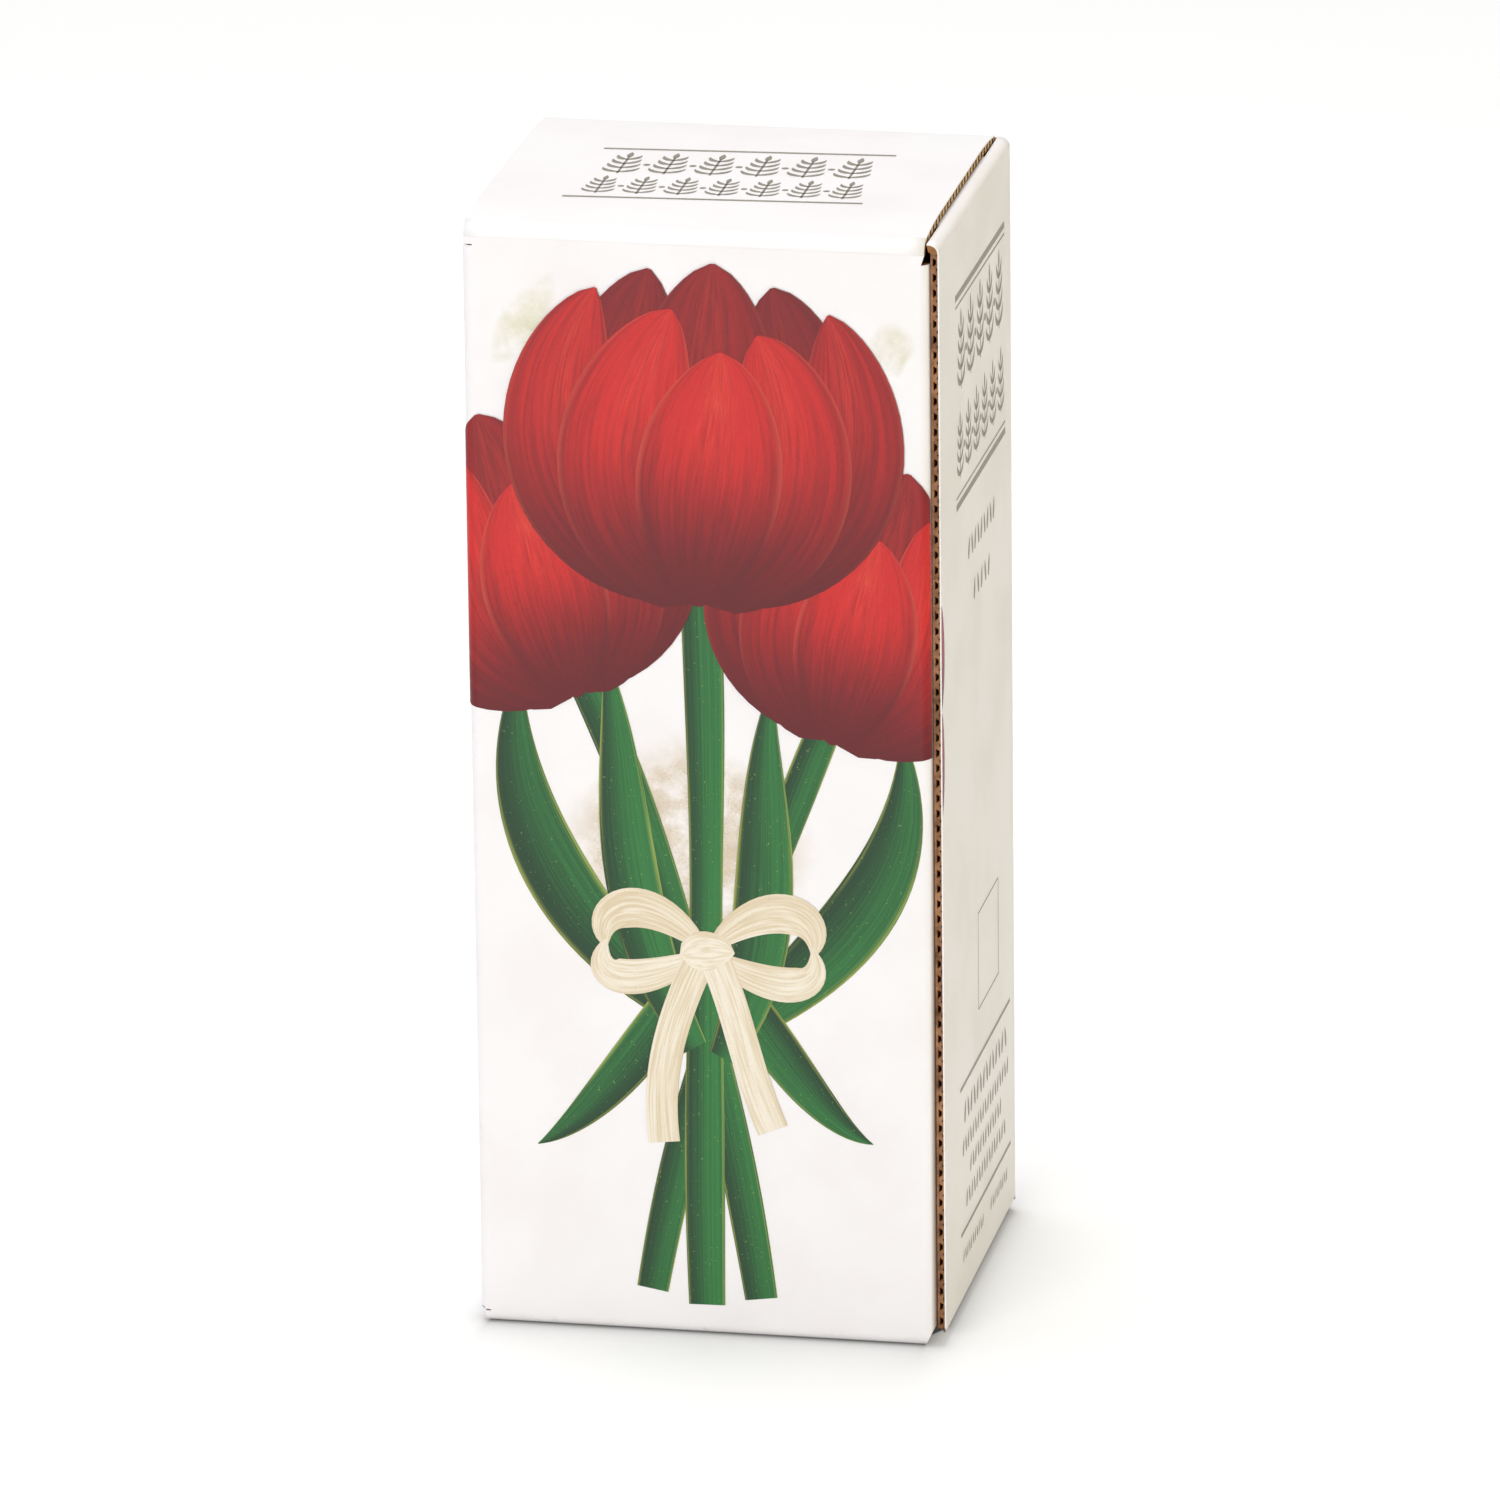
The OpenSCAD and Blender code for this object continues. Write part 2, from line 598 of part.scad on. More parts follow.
outer_sheet();
front_board();
left_board();
back_board();
right_board();
glue_flap();
front_base_flap();
back_base_flap();
side_base_flap(-1);  // left_base_flap
side_base_flap(1);  // right_base_flap
front_base_sheet();
back_base_sheet();
side_base_sheet(-1);  // left_base_sheet
side_base_sheet(1);  // right_base_sheet
lid_sheet();
lid_board();
lid_fold_sheet();
lid_fold_board();
tuck_sheet();
tuck_board();
tuck_fold_sheet();
tuck_fold_board();
dust_sheet(-1);  // left_dust_sheet
dust_board(-1);  // left_dust_board
dust_fold(-1, 0, sheet_t);  // left_dust_fold_sheet
dust_fold(-1, sheet_t, kraft_t);  // left_dust_fold_board
dust_sheet(1);  // right_dust_sheet
dust_board(1);  // right_dust_board
dust_fold(1, 0, sheet_t);  // right_dust_fold_sheet
dust_fold(1, sheet_t, kraft_t);  // right_dust_fold_board
insert_top();
insert_leg(insert_left);  // insert_left_leg
insert_leg(insert_right - board_t);  // insert_right_leg
glass_tube();
glass_bowl();
holder();
suction_cup();
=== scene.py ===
import json
import math

import bmesh
import bpy
from mathutils import Matrix, Vector


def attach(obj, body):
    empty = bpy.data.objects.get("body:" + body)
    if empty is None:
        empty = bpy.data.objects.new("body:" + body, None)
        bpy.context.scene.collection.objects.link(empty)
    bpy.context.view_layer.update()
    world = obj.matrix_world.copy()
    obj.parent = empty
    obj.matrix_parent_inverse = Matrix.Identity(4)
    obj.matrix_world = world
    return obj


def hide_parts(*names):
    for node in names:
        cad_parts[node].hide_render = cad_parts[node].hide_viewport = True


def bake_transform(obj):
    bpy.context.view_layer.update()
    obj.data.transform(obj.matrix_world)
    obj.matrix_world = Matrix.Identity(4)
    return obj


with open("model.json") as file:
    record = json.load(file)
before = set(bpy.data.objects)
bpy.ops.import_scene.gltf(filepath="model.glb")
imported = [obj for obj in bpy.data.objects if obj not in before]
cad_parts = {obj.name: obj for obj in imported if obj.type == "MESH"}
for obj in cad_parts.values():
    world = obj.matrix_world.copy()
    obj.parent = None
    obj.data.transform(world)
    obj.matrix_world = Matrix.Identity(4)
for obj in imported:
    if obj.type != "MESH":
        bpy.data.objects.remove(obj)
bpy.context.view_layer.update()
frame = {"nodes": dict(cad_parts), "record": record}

MM = 0.001
UP = Vector((0, 0, 1))

# The carton's sizes, as in the source of the part. A turn is how far a fold turns at rest.
HALF_W = 51.5 * MM
HALF_D = 45 * MM
CARTON_H = 250 * MM
BOARD_T = 1.8 * MM
SHEET_T = 0.3 * MM
EDGE_R = 2.4 * MM
SEAM_X = HALF_W - BOARD_T
LID_LEFT = -HALF_W + 0.6 * MM
LID_RIGHT = SEAM_X - 1.2 * MM
LID_FOLD_R = 3.2 * MM
TUCK_FOLD_R = 2.6 * MM
DUST_FOLD_R = 2.2 * MM
LID_BOW_R = 130 * MM
LID_RISE = math.radians(7.5)
LID_FALL = math.radians(7.5)
LID_TURN = math.radians(82.5)
DUST_TURN = math.radians(102)
TUCK_TILT = math.radians(102)
TUCK_TURN = math.radians(94.5)
TUCK_HALF = 48.5 * MM
DUST_FRONT = -44 * MM
DUST_LEFT_FRONT = -42.6 * MM
DUST_BACK = 42.6 * MM
LEFT_DUST_DROP = BOARD_T
RIGHT_DUST_DROP = 0.3 * MM
FLUTE_PITCH = 3.4 * MM


def fold_reach(radius, turn):
    """How far a fold reaches from its turning point, along each of its flaps."""
    return (radius - BOARD_T / 2) * math.tan(turn / 2)


LID_REACH = fold_reach(LID_FOLD_R, LID_TURN)
TUCK_REACH = fold_reach(TUCK_FOLD_R, TUCK_TURN)
LID_PLAY = 0.4 * MM
LID_SPAN = 2 * (HALF_D - BOARD_T) - LID_PLAY
LID_FLAT = LID_SPAN - LID_REACH - TUCK_REACH

# The lid rises in a bow, runs level and falls in another. Each place is from its turning point.
RISE_Y = LID_REACH * math.cos(LID_RISE) + LID_BOW_R * math.sin(LID_RISE)
RISE_END_Z = LID_REACH * math.sin(LID_RISE) + LID_BOW_R * (1 - math.cos(LID_RISE))
FALL_Y = LID_SPAN - TUCK_REACH * math.cos(LID_FALL) - LID_BOW_R * math.sin(LID_FALL)
FALL_END_Z = RISE_END_Z - LID_BOW_R * (1 - math.cos(LID_FALL))

# The points that the flaps turn about, in the middle of the board
LID_PIVOT = Vector((0, -HALF_D + BOARD_T / 2, CARTON_H - BOARD_T / 2 - RISE_END_Z))
TUCK_PIVOT = LID_PIVOT + Vector((0, LID_SPAN, FALL_END_Z - TUCK_REACH * math.sin(LID_FALL)))
LEFT_DUST_PIVOT = Vector((-HALF_W + BOARD_T / 2, 0, LID_PIVOT.z - LEFT_DUST_DROP))
RIGHT_DUST_PIVOT = Vector((HALF_W - BOARD_T / 2, 0, LID_PIVOT.z - RIGHT_DUST_DROP))


# Shader maths

class Wire:
    """An output of a node, whose operators add Math nodes."""

    def __init__(self, finish, socket):
        self.finish, self.socket = finish, socket

    def math(self, operation, *values):
        return self.finish.node("ShaderNodeMath", {"operation": operation}, dict(enumerate(values)))

    def __add__(self, other):
        return self.math("ADD", self, other)

    __radd__ = __add__

    def __sub__(self, other):
        return self.math("SUBTRACT", self, other)

    def __rsub__(self, other):
        return self.math("SUBTRACT", other, self)

    def __mul__(self, other):
        return self.math("MULTIPLY", self, other)

    __rmul__ = __mul__

    def __abs__(self):
        return self.math("ABSOLUTE", self)

    def sine(self):
        return self.math("SINE", self)

    def exponent(self):
        return self.math("EXPONENT", self)

    def root(self):
        return self.math("SQRT", self)

    def most(self, other):
        return self.math("MAXIMUM", self, other)

    def ramp(self, low, high, start=0.0, end=1.0):
        """A smooth step from start at low to end at high."""
        return self.finish.node(
            "ShaderNodeMapRange", {"interpolation_type": "SMOOTHSTEP"},
            {0: self, 1: low, 2: high, 3: start, 4: end})


class Finish:
    """A material, built one node at a time."""

    def __init__(self, name, roughness=0.5, **constants):
        self.material = bpy.data.materials.new(name)
        self.material.use_nodes = True
        self.tree = self.material.node_tree
        self.shader = self.tree.nodes["Principled BSDF"]
        self.set(Roughness=roughness, **constants)

    def node(self, kind, settings=None, inputs=None, out=0):
        made = self.tree.nodes.new(kind)
        for key, value in (settings or {}).items():
            setattr(made, key, value)
        for key, value in (inputs or {}).items():
            self.join(value, made.inputs[key])
        return Wire(self, made.outputs[out])

    def join(self, value, target):
        if isinstance(value, Wire):
            self.tree.links.new(value.socket, target)
        else:
            target.default_value = value

    def set(self, **values):
        """Sets the shader's sockets, whose names are written with _ for a space."""
        for name, value in values.items():
            self.join(value, self.shader.inputs[name.replace("_", " ")])
        return self.material

    def place(self):
        """The point in the object's own coordinates, in metres."""
        return self.node("ShaderNodeTexCoord", out=3)

    def uv(self):
        """The two shares across and along a printed shape, and a third that is zero."""
        return self.apart(self.node("ShaderNodeTexCoord", out=2))

    def apart(self, vector):
        parts = self.node("ShaderNodeSeparateXYZ", None, {0: vector})
        outputs = parts.socket.node.outputs
        return Wire(self, outputs[0]), Wire(self, outputs[1]), Wire(self, outputs[2])

    def together(self, x, y, z=0.0):
        return self.node("ShaderNodeCombineXYZ", None, {0: x, 1: y, 2: z})

    def attribute(self, name):
        return self.node("ShaderNodeAttribute", {"attribute_name": name}, out=2)

    def noise(self, vector, scale, detail=3.0, roughness=0.5, stretch=None):
        if stretch:
            vector = self.node(
                "ShaderNodeVectorMath", {"operation": "MULTIPLY"}, {0: vector, 1: stretch})
        return self.node("ShaderNodeTexNoise", None,
                         {"Vector": vector, "Scale": scale, "Detail": detail, "Roughness": roughness})

    def mix(self, share, first, second):
        """The first colour where share is 0, and the second where it is 1."""
        return self.node(
            "ShaderNodeMix", {"data_type": "RGBA"}, {0: share, 6: first, 7: second}, out=2)

    def bump(self, height, distance, strength=1.0):
        return self.node("ShaderNodeBump", None,
                         {"Strength": strength, "Distance": distance, "Height": height})


def colour(red, green, blue):
    """A linear colour from screen values between 0 and 255."""
    def linear(value):
        value /= 255
        return value / 12.92 if value <= 0.04045 else ((value + 0.055) / 1.055) ** 2.4
    return linear(red), linear(green), linear(blue), 1.0


def darker(tint, share):
    return tuple(share * part for part in tint[:3]) + (1.0,)


# Finishes

SCUFF_W = 1.6 * MM
SEAM_SHADE_TOP = 244.2 * MM
BOARD_LIGHT, BOARD_DARK = colour(182, 134, 88), colour(134, 90, 52)


def white_sheet():
    """The printed sheet's bare white, with its scuffs, painted shade at the seam and along the lower
    folds, and the flutes' faint wave.
    """
    finish = Finish("printed_sheet", roughness=0.5, Specular_IOR_Level=0.4)
    place = finish.place()
    x, y, z = finish.apart(place)
    mottle = finish.noise(place, 45, 4)
    grain = finish.noise(place, 900, 2)
    tint = finish.mix(mottle.ramp(0.35, 0.75), colour(248, 245, 246), colour(244, 240, 240))
    # Scuffs gather along the folds
    edge_x = abs(x).ramp(HALF_W - SCUFF_W, HALF_W)
    edge_y = abs(y).ramp(HALF_D - SCUFF_W, HALF_D)
    fold = (edge_x * edge_y).most(edge_x.most(edge_y) * z.ramp(3 * MM, 0.5 * MM))
    rub = finish.noise(place, 260, 5, 0.7).ramp(0.52, 0.7)
    tint = finish.mix(fold * rub * 0.35, tint, colour(196, 186, 172))
    # Painted shade: the seam's fold darkens to brown beside the raw edge, over a wider band further
    # down than up
    seam_shade_w = z.ramp(200 * MM, 20 * MM, 0.7 * MM, 1.5 * MM)
    seam = (x - (SEAM_X - seam_shade_w)).ramp(0.0, 1.3 * MM) * x.ramp(SEAM_X + 0.6 * MM, SEAM_X + 0.2 * MM)
    seam = seam * y.ramp(-HALF_D + 3.6 * MM, -HALF_D + 3.2 * MM)
    seam = seam * z.ramp(SEAM_SHADE_TOP, SEAM_SHADE_TOP - 1.0 * MM)
    tint = finish.mix(seam * 0.85, tint, colour(114, 78, 54))
    # Painted shade: dark lines where the lower folds turn under, the front's first and then the side
    # walls'
    front_foot_shade = z.ramp(0.75 * MM, 0.2 * MM) * abs(x).ramp(HALF_W - 1.6 * MM, HALF_W - 2.4 * MM)
    side_foot_shade = z.ramp(3.75 * MM, 3.1 * MM) * abs(x).ramp(HALF_W - 1.2 * MM, HALF_W - 0.8 * MM)
    tint = finish.mix(front_foot_shade.most(side_foot_shade) * 0.6, tint, colour(92, 88, 80))
    flutes = (z * (2 * math.pi / FLUTE_PITCH)).sine() * 0.5 + 0.5
    height = flutes * 0.10 + grain * 0.16 + mottle * 0.5
    return finish.set(
        Base_Color=tint, Roughness=mottle.ramp(0.3, 0.7, 0.42, 0.56), Coat_Weight=0.12,
        Coat_Roughness=0.3, Normal=finish.bump(height, 0.05 * MM, 0.6))


def brown_board(name, light, dark, row=None):
    """Kraft board. A row gives the lid's raw edge its two colours, and the start and pitch of the dark
    spots painted as shade inside its flute holes.
    """
    finish = Finish(name, roughness=0.85, Specular_IOR_Level=0.2)
    place = finish.place()
    fibre = finish.noise(place, 900, 4, 0.6, stretch=(1.0, 1.0, 0.22))
    cross = finish.noise(place, 700, 3, 0.6, stretch=(0.2, 1.0, 1.0))
    patch = finish.noise(place, 110, 3)
    fleck = finish.noise(place, 2600, 2, 0.6).ramp(0.66, 0.74)
    share = (fibre * 0.45 + cross * 0.3 + patch * 0.45).ramp(0.42, 0.78)
    tint = finish.mix(share, light, dark)
    if row:
        edge_light, edge_dark, start, pitch = row
        x, y, _ = finish.apart(place)
        edge = x.ramp(LID_RIGHT - 0.3 * MM, LID_RIGHT - 0.1 * MM)
        tint = finish.mix(edge, tint, finish.mix(share, edge_light, edge_dark))
    tint = finish.mix(fleck * 0.6, tint, colour(92, 58, 30))
    if row:
        # Painted shade: a row of dark spots stands for the shade inside the flute holes
        hollow_shade = ((y - start) * (2 * math.pi / pitch) - math.pi / 2).sine() + (cross - 0.5)
        tint = finish.mix(hollow_shade.ramp(-0.15, 0.3) * edge * 0.95, tint, colour(52, 38, 24))
    return finish.set(
        Base_Color=tint, Roughness=patch.ramp(0.3, 0.7, 0.78, 0.92),
        Normal=finish.bump(fibre + cross * 0.6, 0.06 * MM, 0.7))


def clear(name, tint, roughness, ior, wave):
    """Glass or clear plastic, with a slight haze and ripples of the scale wave."""
    finish = Finish(name, roughness=roughness, IOR=ior, Transmission_Weight=1.0)
    place = finish.place()
    ripple = finish.noise(place, wave, 2)
    haze = finish.noise(place, 320, 4)
    return finish.set(
        Base_Color=finish.mix(haze.ramp(0.35, 0.8), tint, darker(tint, 0.93)),
        Roughness=haze.ramp(0.3, 0.8, roughness, roughness + 0.05),
        Normal=finish.bump(ripple, 0.05 * MM, 0.3))


def petal_ink():
    """Red, darker at the root and the rims, with veins that run along the petal."""
    finish = Finish("petal_ink", roughness=0.45, Specular_IOR_Level=0.4)
    across, along, _ = finish.uv()
    place = finish.place()
    tone = finish.attribute("tone")
    middle = abs(across - 0.5) * 2
    veins = finish.noise(
        finish.together(across, along, tone * 7), 26, 3, 0.6, stretch=(1.0, 0.10, 1.0))
    fine = finish.noise(
        finish.together(across, along, tone * 3), 90, 2, 0.6, stretch=(1.0, 0.08, 1.0))
    print_grain = finish.noise(place, 2400, 2)
    lit = along.ramp(0.0, 0.75, 0.12, 1.0) * tone.ramp(0.0, 1.0, 0.25, 1.0)
    lit = lit * middle.ramp(0.55, 1.0, 1.0, 0.72) * veins.ramp(0.3, 0.7, 0.70, 1.10)
    tint = finish.mix(lit.ramp(0.0, 1.0), colour(88, 8, 18), colour(206, 34, 32))
    glow = middle.ramp(0.0, 0.5, 1.0, 0.0) * along.ramp(0.35, 0.8) * tone * fine.ramp(0.4, 0.65)
    tint = finish.mix(glow * 0.45, tint, colour(232, 84, 62))
    rim = middle.ramp(0.90, 0.99) * along.ramp(0.15, 0.5) * tone
    tint = finish.mix(rim * 0.35, tint, colour(226, 96, 74))
    tint = finish.mix(print_grain.ramp(0.58, 0.75) * 0.22, tint, colour(70, 6, 14))
    return finish.set(Base_Color=tint, Roughness=print_grain.ramp(0.3, 0.7, 0.40, 0.52))


def leaf_ink():
    """Green, darker to the left, with streaks along the leaf and a yellow rim."""
    finish = Finish("leaf_ink", roughness=0.45, Specular_IOR_Level=0.4)
    across, along, _ = finish.uv()
    place = finish.place()
    tone = finish.attribute("tone")
    middle = abs(across - 0.5) * 2
    streak = finish.noise(
        finish.together(across, along, tone * 5), 24, 3, 0.6, stretch=(1.0, 0.07, 1.0))
    print_grain = finish.noise(place, 1500, 2, 0.7)
    lit = across.ramp(0.05, 0.75, 0.25, 1.0) * streak.ramp(0.3, 0.72, 0.6, 1.1)
    lit = lit * tone.ramp(0.0, 1.0, 0.5, 1.0)
    tint = finish.mix(lit.ramp(0.0, 1.0), colour(14, 48, 26), colour(44, 118, 56))
    rim = middle.ramp(0.80, 1.0) * streak.ramp(0.35, 0.6)
    tint = finish.mix(rim * 0.75, tint, colour(168, 176, 84))
    tint = finish.mix(print_grain.ramp(0.66, 0.74) * 0.5, tint, colour(150, 170, 96))
    return finish.set(Base_Color=tint, Roughness=print_grain.ramp(0.3, 0.7, 0.40, 0.52))


def ribbon_ink():
    """Pale satin, with sheen along the ribbon."""
    finish = Finish("ribbon_ink", roughness=0.45, Specular_IOR_Level=0.4)
    across, along, _ = finish.uv()
    place = finish.place()
    tone = finish.attribute("tone")
    satin = finish.noise(
        finish.together(across, along, tone * 5), 14, 2, 0.5, stretch=(1.0, 0.2, 1.0))
    print_grain = finish.noise(place, 1800, 2)
    lit = (satin.ramp(0.3, 0.7) * 0.6 + tone * 0.4) * across.ramp(0.0, 0.3, 0.6, 1.0)
    tint = finish.mix(lit.ramp(0.1, 0.95), colour(221, 203, 170), colour(244, 235, 218))
    tint = finish.mix(print_grain.ramp(0.6, 0.75) * 0.3, tint, colour(205, 182, 140))
    return finish.set(Base_Color=tint, Roughness=print_grain.ramp(0.3, 0.7, 0.42, 0.52))


def wash_ink(name, tint, weight):
    """A thin wash of colour that fades out towards its rim."""
    finish = Finish(name, roughness=0.5, Specular_IOR_Level=0.4)
    across, along, _ = finish.uv()
    place = finish.place()
    reach = finish.node("ShaderNodeVectorMath", {"operation": "LENGTH"},
                        {0: finish.together(across - 0.5, along - 0.5)}, out=1)
    cloud = finish.noise(place, 130, 4, 0.6)
    return finish.set(
        Base_Color=finish.mix(cloud, tint, darker(tint, 0.9)),
        Alpha=(reach + cloud * 0.16).ramp(0.57, 0.36) * cloud.ramp(0.25, 0.8) * weight)


def plain_ink(name, tint, dark):
    """One colour, worn in patches."""
    finish = Finish(name, roughness=0.42, Specular_IOR_Level=0.45)
    place = finish.place()
    worn = finish.noise(place, 700, 4, 0.7)
    return finish.set(
        Base_Color=finish.mix(worn.ramp(0.35, 0.75), dark, tint),
        Roughness=worn.ramp(0.3, 0.7, 0.34, 0.5))


SHEET = white_sheet()
BOARD = brown_board("kraft_board", BOARD_LIGHT, BOARD_DARK)
FLUTES = brown_board("fluted_board", colour(172, 124, 88), colour(92, 60, 38))
GLASS = clear("clear_glass", (0.94, 0.98, 0.97, 1.0), 0.0, 1.47, 60)
ACRYLIC = clear("clear_acrylic", (0.95, 0.98, 1.0, 1.0), 0.02, 1.49, 40)
VINYL = clear("clear_vinyl", (0.93, 0.95, 0.96, 1.0), 0.22, 1.45, 120)
PETAL = petal_ink()
LEAF = leaf_ink()
RIBBON = ribbon_ink()
RULE = plain_ink("rule_ink", colour(150, 142, 126), colour(112, 104, 88))
BEIGE_WASH = wash_ink("beige_wash", colour(232, 214, 182), 0.75)
YELLOW_WASH = wash_ink("yellow_wash", colour(230, 226, 170), 0.4)

LID_EDGE = brown_board("lid_edge", BOARD_LIGHT, BOARD_DARK, row=(
    colour(240, 206, 162), colour(204, 166, 122),
    LID_PIVOT.y + LID_REACH, LID_FLAT / round(LID_FLAT / FLUTE_PITCH)))

FINISH_OF_SLOT = {
    "printed_sheet": SHEET, "kraft_board": BOARD, "fluted_board": FLUTES,
    "clear_glass": GLASS, "clear_acrylic": ACRYLIC, "clear_vinyl": VINYL,
}
for part in frame["record"]["subparts"]:
    node = frame["nodes"][part["node"]]
    node.data.materials.clear()
    node.data.materials.append(FINISH_OF_SLOT[part["material_slot"]])
frame["nodes"]["lid_board"].data.materials[0] = LID_EDGE
for name in ("glass_tube", "glass_bowl", "holder", "suction_cup"):
    for face in frame["nodes"][name].data.polygons:
        face.use_smooth = True


# Making pieces

def piece(name, bm, finish, body=None, smooth=True):
    """An object made of a bmesh, which rides on a body."""
    mesh = bpy.data.meshes.new(name)
    bm.to_mesh(mesh)
    bm.free()
    mesh.materials.append(finish)
    for face in mesh.polygons:
        face.use_smooth = smooth
    made = bpy.data.objects.new(name, mesh)
    bpy.context.scene.collection.objects.link(made)
    if body:
        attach(made, body)
    return made


# Creases: strips of sheet and board at the folds at rest, in place of the CAD fold nodes

CREASE_STEPS = 28
CREASE_CUTS = 23


def crease_ring(pivot, inward, tilt, fold_r, turn, radius, wall, sides):
    """A layer of a fold, and the inner corners of its two ends: the flap's and the wall's.

    The flap runs inward from the pivot, tilted up by tilt. The fold has the outer radius fold_r, the
    layer has the outer radius radius and the thickness wall, and sides are its ends along its axis.
    """
    flap = inward * math.cos(tilt) + UP * math.sin(tilt)
    normal = UP * math.cos(tilt) - inward * math.sin(tilt)
    axis = flap.cross(normal)
    centre = pivot + flap * fold_reach(fold_r, turn) + normal * (BOARD_T / 2 - fold_r)
    ends = [side * (axis.x + axis.y) for side in sides]
    bm = bmesh.new()
    outline = ((radius, ends[0]), (radius, ends[1]), (radius - wall, ends[1]), (radius - wall, ends[0]))
    corners = [bm.verts.new(centre + normal * out + axis * along) for out, along in outline]
    edges = [bm.edges.new((corners[i], corners[(i + 1) % 4])) for i in range(4)]
    bmesh.ops.spin(bm, geom=corners + edges, cent=centre, axis=axis, angle=turn, steps=CREASE_STEPS)
    bmesh.ops.remove_doubles(bm, verts=bm.verts, dist=1e-7)
    bmesh.ops.holes_fill(bm, edges=[e for e in bm.edges if e.is_boundary])
    long_edges = [e for e in bm.edges
                  if abs((e.verts[1].co - e.verts[0].co).normalized().dot(axis)) > 0.99]
    bmesh.ops.subdivide_edges(bm, edges=long_edges, cuts=CREASE_CUTS, use_grid_fill=True)
    bmesh.ops.recalc_face_normals(bm, faces=bm.faces)
    inner = fold_r - BOARD_T
    wall_way = Matrix.Rotation(turn, 3, axis) @ normal
    return bm, centre + normal * inner, centre + wall_way * inner


def crease(name, pivot, inward, tilt, fold_r, turn, sides, nodes):
    """The two layers of a fold at rest, which take the place of the CAD nodes that it hides. nodes
    starts the CAD nodes' names.
    """
    for layer, radius, wall, finish, slot in (
            ("sheet", fold_r, SHEET_T, SHEET, "printed_sheet"),
            ("board", fold_r - SHEET_T, BOARD_T - SHEET_T, BOARD, "kraft_board")):
        bm, flap_end, wall_end = crease_ring(pivot, inward, tilt, fold_r, turn, radius, wall, sides)
        made = piece(f"{name}_crease_{layer}", bm, finish)
        for face in made.data.polygons:
            face.use_smooth = abs(face.normal.dot(inward.cross(UP))) < 0.9
        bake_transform(made)
        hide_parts(nodes + "_" + layer)


crease("lid", LID_PIVOT, Vector((0, 1, 0)), LID_RISE,
       LID_FOLD_R, LID_TURN, (LID_LEFT, LID_RIGHT), "lid_fold")
crease("tuck", TUCK_PIVOT, Vector((0, 1, 0)), -TUCK_TILT,
       TUCK_FOLD_R, TUCK_TURN, (-TUCK_HALF, TUCK_HALF), "tuck_fold")
crease("right_dust", RIGHT_DUST_PIVOT, Vector((-1, 0, 0)),
       math.pi / 2 - DUST_TURN, DUST_FOLD_R, DUST_TURN, (DUST_FRONT, DUST_BACK), "right_dust_fold")
crease("left_dust", LEFT_DUST_PIVOT, Vector((1, 0, 0)),
       math.pi / 2 - DUST_TURN, DUST_FOLD_R, DUST_TURN, (DUST_LEFT_FRONT, DUST_BACK),
       "left_dust_fold")


# Where a point of a flat print lies on the carton. s runs to the reader's right, t up.

INK_LIFT = 0.03 * MM
INK_LAYER = 0.008 * MM
LID_PRINT_SKEW = 0.056
SEAM_BEND_S = SEAM_X - EDGE_R
SEAM_END_S = SEAM_BEND_S + EDGE_R * math.radians(52)
LEFT_BEND_S = -HALF_W + EDGE_R
LEFT_END_S = LEFT_BEND_S - EDGE_R * math.pi / 2 - 3 * MM
BACK_MARGIN = 3 * MM
BEND_STEP = 0.3 * MM
BENDS = ([SEAM_BEND_S + k * BEND_STEP for k in range(8)]
         + [LEFT_BEND_S - k * BEND_STEP for k in range(14)])


def on_front(s, t, lift):
    """The front wall, with the fold at the seam and the fold at the left."""
    radius = EDGE_R + lift
    if s > SEAM_BEND_S:
        turn = (s - SEAM_BEND_S) / EDGE_R
        y = -HALF_D + EDGE_R - radius * math.cos(turn)
        return Vector((SEAM_BEND_S + radius * math.sin(turn), y, t))
    if s < LEFT_BEND_S:
        turn = min((LEFT_BEND_S - s) / EDGE_R, math.pi / 2)
        past = max(0.0, LEFT_BEND_S - s - EDGE_R * math.pi / 2)
        y = -HALF_D + EDGE_R - radius * math.cos(turn) + past
        return Vector((LEFT_BEND_S - radius * math.sin(turn), y, t))
    return Vector((s, -HALF_D - lift, t))


def on_back(s, t, lift):
    return Vector((-s, HALF_D + lift, t))


def on_right(s, t, lift):
    return Vector((HALF_W + lift, s, t))


def on_left(s, t, lift):
    return Vector((-HALF_W - lift, -s, t))


def on_lid(s, t, lift):
    """The lid, where t is the distance behind the middle of the carton."""
    y = t - LID_PIVOT.y
    height = BOARD_T / 2 + lift
    if y < RISE_Y:
        slope = (RISE_Y - y) / LID_BOW_R
        z = RISE_END_Z - LID_BOW_R * (1 - math.cos(slope))
        return LID_PIVOT + Vector((s, y - height * math.sin(slope), z + height * math.cos(slope)))
    if y > FALL_Y:
        slope = (y - FALL_Y) / LID_BOW_R
        z = RISE_END_Z - LID_BOW_R * (1 - math.cos(slope))
        return LID_PIVOT + Vector((s, y + height * math.sin(slope), z + height * math.cos(slope)))
    return LID_PIVOT + Vector((s, y, RISE_END_Z + height))


def on_lid_askew(s, t, lift):
    """The lid's print runs a little further back at its right end."""
    return on_lid(s, t + LID_PRINT_SKEW * s, lift)


